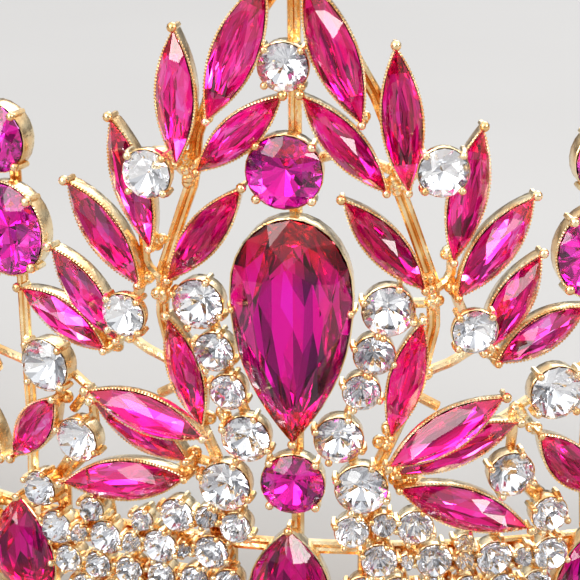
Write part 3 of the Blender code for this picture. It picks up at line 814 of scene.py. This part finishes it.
class Settings:
    """Cup walls, milled edges, claws and claw beads of one piece of metal."""

    def __init__(self):
        self.cups = bmesh.new()
        self.rims, self.claws, self.beads = [], [], []

    def cup(self, kind, length, width, place, girdle, back):
        """Closed cup: foot, flared wall, lip and inner wall down to a floor."""
        lip = CUP_LIP[kind]
        steps = [(-FOOT_INSET, back), (0.0, back + FLARE_RISE)]
        steps += [(lip, girdle - depth) for depth in LIP_DEPTHS]
        steps += [(CUP_GAP, girdle - depth) for depth in INNER_DEPTHS]
        steps.append((-FLOOR_INSET, back + FLOOR_RISE))
        rows = []
        for offset, height in steps:
            points = edge_points(kind, length, width, offset, height, place)
            rows.append([self.cups.verts.new(point) for point in points])
        loft(self.cups, rows)
        self.cups.faces.new(list(reversed(rows[0])))
        self.cups.faces.new(rows[-1])
        if kind in MILLED_KINDS:
            self.rims.append(edge_points(kind, length, width, lip * MILLED_SHARE, girdle - MILLED_DEPTH,
                                         place))

    def claw(self, place, x, y, past, girdle, size):
        """Wire up the outside of the cup and over the edge of the stone, with a bead on it."""
        reach = math.hypot(x, y)
        dx, dy = x / reach, y / reach
        stations = (CLAW_FOOT, (CLAW_BEND[0], girdle + CLAW_BEND[1]), (past, girdle + CLAW_OVER))
        line = [place @ Vector((x + dx * out, y + dy * out, height)) for out, height in stations]
        self.claws.append(line)
        self.beads.append((line[-1], size))

    def seat(self, kind, length, width, place, girdle, back=CUP_BACK):
        """Cup and claws for one stone."""
        self.cup(kind, length, width, place, girdle, back)
        for long, wide, past, bead, growth in CLAWS[kind]:
            self.claw(place, length * long, width * wide, past, girdle, bead + growth * length)

    def meshes(self):
        """The metal of all the settings, as meshes to be joined."""
        return [
            close_work("cups", self.cups),
            run_tree(line_mesh(self.rims, closed=True), BEAD_STRING, **MILLED_BEADS),
            run_tree(line_mesh(self.claws), WIRE, **CLAW_WIRE),
            run_tree(bead_points(self.beads), BEAD_POINT),
        ]


# %% Settings of the main stones
by_kind = {"leaf": Settings(), "round": Settings(), "pear": Settings()}
by_kind["disc"] = by_kind["round"]
for node, kind, length, width, u, v, turn, front, girdle, crown, colour in MAIN_STONES:
    place = wall_place(u, v, front, 0.0 if kind in ROUND_KINDS else turn)
    by_kind[kind].seat(kind, length, width, place, girdle, cup_back(front))
for label in ("leaf", "round", "pear"):
    gold_piece(label + "_settings", by_kind[label].meshes(), ["frame"])

# %% [markdown]
# ## Stems, twigs and posts
# The stems of the real frame are cast with a groove, so that each looks like two wires side
# by side. Two thin wires, each a little to one side of the middle line, give that look and
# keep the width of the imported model's single wire.

# %% Lines of the frame
# each line as its corners (u, v) on the right
STEMS = (
    ((8.6, 11.4), (9.2, 21.5), (11.5, 27.0), (13.7, 32.0), (15.0, 38.5), (14.8, 43.5), (12.9, 49.0),
     (11.0, 54.4), (10.3, 60.0), (8.4, 65.0), (5.2, 71.0), (0.4, 78.5)),
    ((34.3, 11.4), (33.4, 22.0), (33.2, 34.0), (32.8, 47.0), (32.8, 57.6)),
)
TWIGS = (
    ((13.9, 32.8), (17.2, 34.2), (20.8, 36.6), (18.0, 40.4), (16.6, 44.2)),
    ((14.7, 42.6), (16.6, 44.2), (17.0, 49.0)),
    ((10.9, 54.6), (14.3, 57.8), (17.8, 55.8)),
    ((11.0, 56.2), (5.4, 58.6), (0.4, 57.2)),
    ((15.0, 41.2), (9.9, 41.2), (8.5, 36.0), (7.2, 31.4), (5.0, 25.7), (7.6, 19.6)),
    ((13.0, 30.4), (15.8, 28.8)),
    ((9.1, 20.8), (13.0, 21.6), (23.6, 27.4), (28.6, 31.0), (33.2, 33.0)),
    ((12.6, 20.4), (23.0, 15.4), (22.8, 11.4)),
    ((24.4, 21.2), (28.9, 16.8), (29.2, 11.4)),
    ((24.6, 27.8), (24.2, 21.0)),
    ((24.9, 28.0), (27.2, 25.2)),
)
FOOT_V = 0.9
SPINE = ((0.1, FOOT_V), (0.15, 38.0), (0.1, WALL_TOP))
TOP_RAIL_V = 11.4
POST_SPACING = 24.0
END_CLEAR = 2.0
WIRE_W = -0.3
LINE_STEP = 2.0
STEM_GROOVE = (0.36, -0.36)
SPINE_GROOVE = (0.34, -0.34)
STEM_WIRE = {"Radius": 0.0004, "Step": 0.001}
TWIG_WIRE = {"Radius": 0.0006, "Step": 0.001}


def finer(points):
    """Points put between the given ones, so that a line follows the round wall."""
    fine = [points[0]]
    for start, end in zip(points, points[1:]):
        pieces = max(1, round(math.dist(start, end) / LINE_STEP))
        for index in range(1, pieces + 1):
            share = index / pieces
            fine.append(tuple(a + (b - a) * share for a, b in zip(start, end)))
    return fine


def bent(points, w, aside=0.0):
    """World points of a line on the wall, moved aside from itself by a distance."""
    fine = finer(points)
    line = []
    for index, (u, v) in enumerate(fine):
        before, after = fine[max(index - 1, 0)], fine[min(index + 1, len(fine) - 1)]
        along = Vector((after[0] - before[0], after[1] - before[1])).normalized()
        line.append(wall_point(u - along.y * aside, v + along.x * aside, w))
    return line


def mirrored(points, sign):
    return [(sign * u, v) for u, v in points]


stem_lines = [bent(mirrored(line, sign), WIRE_W, aside) for line in STEMS for _, sign in SIDES
              for aside in STEM_GROOVE]
stem_lines += [bent(SPINE, WIRE_W, aside) for aside in SPINE_GROOVE]
twig_lines = [bent(mirrored(line, sign), WIRE_W) for line in TWIGS for _, sign in SIDES]
for number in range(1, int((BAND_ARC - END_CLEAR) / POST_SPACING) + 1):
    post = [(number * POST_SPACING, FOOT_V), (number * POST_SPACING, TOP_RAIL_V)]
    twig_lines += [bent(mirrored(post, sign), WIRE_W) for _, sign in SIDES]
print("wires of the stems:", len(stem_lines), "and of twigs and posts:", len(twig_lines))

# %% [markdown]
# Where a twig or the foot of a leaf meets a stem, the solder has set as an uneven little
# lump. Three beads of seeded sizes, half sunk in each other, make one.

# %% Solder lumps
SOLDER = random.Random(5)
SOLDER_W = 0.1
SOLDER_BEADS = 3
SOLDER_STRAY = (-0.5, 0.5)
SOLDER_SIZES = (0.6, 0.85)


def solder_lump(u, v):
    lump = []
    for _ in range(SOLDER_BEADS):
        spot = wall_point(u + SOLDER.uniform(*SOLDER_STRAY), v + SOLDER.uniform(*SOLDER_STRAY), SOLDER_W)
        lump.append((spot, SOLDER.uniform(*SOLDER_SIZES)))
    return lump


lumps = []
for (u, v), *_ in TWIGS:
    lumps += solder_lump(u, v) + solder_lump(-u, v)
for _, right_u, right_v, _, _, left_u, left_v, *_ in LEAVES:
    lumps += solder_lump(right_u, right_v) + solder_lump(-left_u, left_v)
gold_piece("stems", [run_tree(line_mesh(stem_lines), WIRE, **STEM_WIRE),
                     run_tree(line_mesh(twig_lines), WIRE, **TWIG_WIRE),
                     run_tree(bead_points(lumps), BEAD_POINT)], ["frame"])

# %% [markdown]
# ## The rails
# The bottom rail is what the tiara stands on, a flat strip with softened edges. It is lofted
# by hand from one rounded section, because its section must stay upright all the way round.

# %% Bottom and top rails
RAIL_INNER = 68.2
RAIL_WIDTH = 2.4
RAIL_HEIGHT = 1.8
RAIL_SOFT = 0.35
RAIL_STEPS = 160
CORNER_STEPS = 3
TOP_RAIL_REACH = BAND_ARC - 1.0
TOP_RAIL_GROOVE = (0.4, -0.4)
TOP_RAIL_WIRE = {"Radius": 0.0005, "Step": 0.0015}


def rail_section():
    """Rounded rectangle, as (distance from the middle of the head, height)."""
    corners = []
    for side, top, start in ((1, 1, 0), (0, 1, 90), (0, 0, 180), (1, 0, 270)):
        across = RAIL_INNER + (RAIL_WIDTH - RAIL_SOFT if side else RAIL_SOFT)
        height = RAIL_HEIGHT - RAIL_SOFT if top else RAIL_SOFT
        for step in range(CORNER_STEPS + 1):
            angle = math.radians(start + 90 / CORNER_STEPS * step)
            corners.append((across + RAIL_SOFT * math.cos(angle), height + RAIL_SOFT * math.sin(angle)))
    return corners


def bottom_rail():
    work = bmesh.new()
    section = rail_section()
    rows = []
    for step in range(RAIL_STEPS + 1):
        angle = (2 * step / RAIL_STEPS - 1) * BAND_ARC / ARC_RADIUS
        side, front = math.sin(angle), -math.cos(angle)
        rows.append([work.verts.new(Vector((side * r, CENTRE_Y + front * r, z)) * MM) for r, z in section])
    loft(work, rows)
    work.faces.new(rows[0])
    work.faces.new(list(reversed(rows[-1])))
    return close_work("bottom rail", work)


top_lines = [bent([(-TOP_RAIL_REACH, TOP_RAIL_V + aside), (TOP_RAIL_REACH, TOP_RAIL_V + aside)], WIRE_W)
             for aside in TOP_RAIL_GROOVE]
gold_piece("rails", [bottom_rail(), run_tree(line_mesh(top_lines), WIRE, **TOP_RAIL_WIRE)],
           ["frame"])

# %% [markdown]
# ## Strings of stones
# Smaller stones are soldered to each other in strings: down both sides of the pear, in the
# sprays, in the side motifs and along the band. A string keeps its stones by colour and its
# settings in one piece of metal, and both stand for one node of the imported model.

# %% A string of set stones
STRING_WIRE_W = -0.35
STRING_WIRE = {"Radius": 0.00055, "Step": 0.001}


class StoneString:
    """Stones and metal that stand for one fused node."""

    def __init__(self, name):
        self.name = name
        self.stones = {"fuchsia": start_work(), "clear": start_work()}
        self.settings = Settings()
        self.wires = []

    def stone(self, kind, length, width, u, v, turn, colour, crown=ROUND_CROWN):
        place = wall_place(u, v, 0.0, turn)
        first = CRYSTAL_ORDER.index(crystal_of(kind, colour)[0])
        add_stone(self.stones[colour], kind, length, width, place, GIRDLE, crown, CUP_BACK + CULET_LIFT,
                  first)
        self.settings.seat(kind, length, width, place, GIRDLE)

    def round(self, u, v, diameter, colour="clear"):
        self.stone("round", diameter, diameter, u, v, ROUND_TURN, colour)

    def leaf(self, ends, width):
        u, v, length, turn = leaf_place(*ends)
        self.stone("leaf", length, width, u, v, turn, "fuchsia", LEAF_CROWN)

    def wire(self, points):
        self.wires.append(bent(points, STRING_WIRE_W))

    def rounds(self, rows, sign):
        """Rounds at their places on one side, which are returned for a wire behind them."""
        spots = []
        for right_u, right_v, left_u, left_v, diameter in rows:
            spots.append((right_u, right_v) if sign > 0 else (-left_u, left_v))
            self.round(*spots[-1], diameter)
        return spots

    def finish(self, nodes):
        for colour, work in self.stones.items():
            if len(work.faces):
                stone_piece(f"{self.name}_{colour}", work, CRYSTAL_ORDER, nodes)
            else:
                work.free()
        metal = self.settings.meshes()
        if self.wires:
            metal.append(run_tree(line_mesh(self.wires), WIRE, **STRING_WIRE))
        gold_piece(f"{self.name}_metal", metal, nodes)


# %% Rounds beside the pear
# place on the right (u, v), place on the left, diameter
PEAR_STRING = (
    (10.0, 41.2, 10.1, 41.1, 5.7),
    (8.6, 36.0, 8.5, 35.6, 4.5),
    (7.3, 31.6, 7.1, 30.9, 4.1),
    (4.9, 25.8, 5.2, 25.4, 5.4),
    (7.4, 19.8, 7.7, 19.3, 5.8),
)
for side, sign in SIDES:
    string = StoneString(f"pear_rounds_{side}")
    string.wire(string.rounds(PEAR_STRING, sign))
    string.finish([string.name])

# %% Sprays outside the centrepiece
# leaves as foot and tip (u, v, u, v) and width, the round as u, v and diameter
SPRAY_LEAVES = (
    (46.6, 36.4, 41.0, 47.4, 4.1),
    (45.2, 34.9, 35.6, 40.8, 4.1),
    (43.6, 26.0, 36.4, 18.6, 4.1),
)
SPRAY_ROUND = (46.6, 31.2, 5.2)
SPRAY_WIRES = (
    ((33.6, 30.0), (39.5, 31.0), (45.6, 34.2), (45.4, 38.8)),
    ((39.5, 31.0), (42.6, 36.4)),
    ((38.0, 28.4), (42.2, 24.6)),
    ((38.0, 28.4), (39.5, 31.0)),
    ((45.6, 34.2), (46.4, 31.4)),
)
for side, sign in SIDES:
    string = StoneString(f"side_spray_{side}")
    for foot_u, foot_v, tip_u, tip_v, width in SPRAY_LEAVES:
        string.leaf((sign * foot_u, foot_v, sign * tip_u, tip_v), width)
    string.round(sign * SPRAY_ROUND[0], *SPRAY_ROUND[1:])
    for line in SPRAY_WIRES:
        string.wire(mirrored(line, sign))
    string.finish([string.name])

# %% Side motifs
# number, arc from the middle of the front, scale, pairs of leaves
MOTIF_SIDES = ((2, 61.0, 0.86, 4), (3, 91.5, 0.70, 3))
MOTIF_BASE_V = 12.75
# pear as height, length and width, rounds as height and diameter, leaves as foot, tip and width
MOTIF_PEAR = (23.0, 15.0, 9.6)
MOTIF_ROUNDS = ((34.8, 6.8), (10.6, 5.6))
MOTIF_LEAVES = (
    (0.0, 39.6, 0.0, 51.0, 4.2),
    (5.0, 27.6, 9.6, 40.4, 4.2),
    (8.0, 20.4, 15.2, 30.4, 4.2),
    (4.4, 8.2, 14.8, 13.8, 4.4),
)
MOTIF_WIRES = (
    ((0.2, -1.0), (0.3, 23.0), (0.2, 44.0)),
    ((0.5, 6.2), (6.0, 9.5), (9.1, 21.5), (5.7, 29.5), (0.7, 34.3)),
)
for number, middle_u, scale, leaf_rows in MOTIF_SIDES:
    for side, sign in SIDES:
        string = StoneString(f"side_motif_{number}_{side}")

        def spot(u, v):
            return sign * middle_u + u * scale, MOTIF_BASE_V + v * scale

        v, length, width = MOTIF_PEAR
        string.stone("pear", length * scale, width * scale, *spot(0.0, v), -90.0, "fuchsia")
        for v, diameter in MOTIF_ROUNDS:
            string.round(*spot(0.0, v), diameter * scale, "fuchsia")
        for foot_u, foot_v, tip_u, tip_v, width in MOTIF_LEAVES[:leaf_rows]:
            for hand in (1, -1) if foot_u > 0.0 else (1,):
                ends = (*spot(hand * foot_u, foot_v), *spot(hand * tip_u, tip_v))
                string.leaf(ends, width * scale)
        string.wire([spot(u, v) for u, v in MOTIF_WIRES[0]])
        for hand in (1, -1):
            string.wire([spot(hand * u, v) for u, v in MOTIF_WIRES[1]])
        string.finish([string.name])

# %% The band
BAND_PEARS_U = (34.3, 66.0, 97.7)
# height, length and width
BAND_PEAR = (7.5, 12.2, 9.2)
ROW_V = 10.9
ROW_DIAMETER = 4.0
# arcs of the first stones of the row, then distances of the others from the pear before them
FIRST_ROW = (9.5, 15.6, 22.4, 29.0)
ROW_STEPS = (6.6, 14.2, 21.8)
BRANCH_START = (29.0, ROW_V)
# place on the right (u, v), place on the left, diameter
BAND_BRANCH = (
    (28.6, 15.9, 31.0, 15.4, 4.2),
    (23.9, 21.2, 25.4, 22.6, 5.2),
)
row = list(FIRST_ROW)
for pear_u in BAND_PEARS_U:
    row += [pear_u + step for step in ROW_STEPS if pear_u + step < BAND_ARC - END_CLEAR]
for side, sign in SIDES:
    string = StoneString(f"band_stones_{side}")
    for u in row:
        string.round(sign * u, ROW_V, ROW_DIAMETER)
    v, length, width = BAND_PEAR
    for u in BAND_PEARS_U:
        string.stone("pear", length, width, sign * u, v, 90.0, "fuchsia")
    string.wire([(sign * row[0], ROW_V), (sign * row[-1], ROW_V)])
    string.wire(mirrored([BRANCH_START], sign) + string.rounds(BAND_BRANCH, sign))
    string.finish([string.name])

# %% [markdown]
# ## The field of the band
# Between its two rails the real band is closed by small stones, too many for the packed
# model. Here they are two rows of rounds between the pears, small rounds that fill the row
# on the top rail, and a few that climb to the leaves. Wires behind them carry each row.

# %% Small rounds of the band
FIELD_ROWS = (7.2, 3.9)
FIELD_DIAMETER = 3.3
FIELD_STEP = 3.6
# start and end of the field between the pears, as arcs
FIELD_PARTS = ((7.6, 27.6), (41.0, 59.3), (72.7, 91.0), (104.4, 121.4))
FILL_MOST = 3.0
FILL_GAP = 0.5
PEAR_GAP = 8.0
# u, v, diameter
CLIMBING = {
    "right": ((6.4, 14.5, 3.8), (9.9, 15.4, 2.8), (13.4, 15.1, 4.0), (19.0, 12.9, 2.2)),
    "left": ((-6.6, 14.3, 3.6), (-9.9, 15.3, 2.7), (-13.4, 15.1, 4.0), (-17.6, 13.9, 2.6),
             (-24.0, 14.2, 3.0)),
}
for side, sign in SIDES:
    string = StoneString(f"band_field_{side}")
    for start, end in FIELD_PARTS:
        count = int((end - start) / FIELD_STEP) + 1
        step = (end - start) / (count - 1)
        for shift, v in enumerate(FIELD_ROWS):
            for index in range(count - shift):
                string.round(sign * (start + (index + shift / 2) * step), v, FIELD_DIAMETER)
            string.wire([(sign * start, v), (sign * end, v)])
        for u in (start, (start + end) / 2, end):
            string.wire([(sign * u, FOOT_V), (sign * u, TOP_RAIL_V)])
    for near, far in zip(row, row[1:]):
        if far - near < PEAR_GAP:
            diameter = min(FILL_MOST, far - near - ROW_DIAMETER - FILL_GAP)
            string.round(sign * (near + far) / 2, ROW_V, diameter)
    for u, v, diameter in CLIMBING[side]:
        string.round(u, v, diameter)
        string.wire([(u, v), (u, TOP_RAIL_V)])
    string.finish(())

# %% [markdown]
# ## Floor, light and camera
# A plain pale floor, soft lamps and a quiet grey room let the stones do the work. The room is
# darker towards the floor, so that the stones have something dark to mirror. Light turns over
# many times inside a cut stone, and a path that ends too soon leaves a black facet, so the
# number of bounces is raised. The camera stands where the stones line up with the reference.

# %% The floor
FLOOR_HALF = 4.0
FLOOR_ROUGHNESS = 0.6
STAIN_SCALE = 9.0
FLOOR_DARK = (0.4, 0.39, 0.38, 1.0)
FLOOR_LIGHT = (0.45, 0.44, 0.43, 1.0)


def pale_floor():
    material, tree, shader = shader_material("pale floor")
    place = add_node(tree, "ShaderNodeTexCoord", {}).outputs["Object"]
    noise = add_node(tree, "ShaderNodeTexNoise", {"Vector": place, "Scale": STAIN_SCALE})
    tone = mix_colours(tree, noise.outputs["Fac"], FLOOR_DARK, FLOOR_LIGHT)
    feed(tree, shader, {"Base Color": tone, "Roughness": FLOOR_ROUGHNESS})
    mesh = bpy.data.meshes.new("floor")
    corners = [(x * FLOOR_HALF, y * FLOOR_HALF, 0) for x, y in ((-1, -1), (1, -1), (1, 1), (-1, 1))]
    mesh.from_pydata(corners, [], [(0, 1, 2, 3)])
    mesh.materials.append(material)
    floor = new_object("floor", mesh)


pale_floor()
print("floor in metres:", 2 * FLOOR_HALF)

# %% Lamps
# name, place, size, power, colour
LAMPS = (
    ("key lamp", (-0.6, -0.8, 0.8), 0.8, 9.0, (1.0, 0.98, 0.95)),
    ("side lamp", (0.8, -0.35, 0.45), 0.3, 3.5, (1.0, 0.96, 0.92)),
    ("back lamp", (0.1, 0.8, 0.7), 0.6, 3.0, (0.95, 0.97, 1.0)),
    ("low lamp", (-0.35, -0.9, 0.2), 0.25, 1.5, (1.0, 1.0, 1.0)),
)
TARGET = Vector((-0.000716, -0.0369, 0.042008))
for name, spot, size, power, colour in LAMPS:
    lamp = bpy.data.lights.new(name, "AREA")
    lamp.size = size
    lamp.energy = power
    lamp.color = colour
    item = new_object(name, lamp)
    item.location = spot
    item.rotation_euler = (TARGET - Vector(spot)).to_track_quat("-Z", "Y").to_euler()
print("lamps:", len(LAMPS))

# %% Room
ROOM_SPREAD = (-0.1, 0.75)
ROOM_LOW = (0.06, 0.06, 0.07, 1.0)
ROOM_HIGH = (0.98, 0.99, 1.0, 1.0)
ROOM_STRENGTH = 1.3


def grey_room():
    """A room that is bright above and darker towards the floor, for light and dark in the stones."""
    room = bpy.data.worlds.new("room")
    room.use_nodes = True
    tree = room.node_tree
    view = add_node(tree, "ShaderNodeTexCoord", {}).outputs["Generated"]
    height = add_node(tree, "ShaderNodeSeparateXYZ", {"Vector": view}).outputs["Z"]
    colour = mix_colours(tree, spread(tree, height, *ROOM_SPREAD), ROOM_LOW, ROOM_HIGH)
    feed(tree, tree.nodes["Background"], {"Color": colour, "Strength": ROOM_STRENGTH})
    bpy.context.scene.world = room


BOUNCES = 20
grey_room()
bpy.context.scene.view_settings.view_transform = "Standard"
bpy.context.scene.cycles.max_bounces = BOUNCES
bpy.context.scene.cycles.glossy_bounces = BOUNCES
bpy.context.scene.cycles.transmission_bounces = BOUNCES
print("room:", bpy.context.scene.world.name, "with", BOUNCES, "bounces of light")

# %% The camera
CAMERA_SWING = 0.133833
CAMERA_RISE = 0.287880
CAMERA_ROLL = 0.0038
CAMERA_DISTANCE = 0.30157
FOCAL_PIXELS = 2746.26
IMAGE_PIXELS = 580
SENSOR = 36.0
flat = math.cos(CAMERA_RISE)
direction = Vector((math.sin(CAMERA_SWING) * flat, -math.cos(CAMERA_SWING) * flat, math.sin(CAMERA_RISE)))
lens = bpy.data.cameras.new("camera")
lens.sensor_width = SENSOR
lens.lens = FOCAL_PIXELS / IMAGE_PIXELS * SENSOR
lens.clip_start = 0.01
camera = new_object("camera", lens)
camera.location = TARGET + direction * CAMERA_DISTANCE
aim = (-direction).to_track_quat("-Z", "Y").to_matrix().to_4x4()
camera.rotation_euler = (aim @ Matrix.Rotation(CAMERA_ROLL, 4, "Z")).to_euler()
bpy.context.scene.camera = camera
print("lens in millimetres:", round(lens.lens, 1))
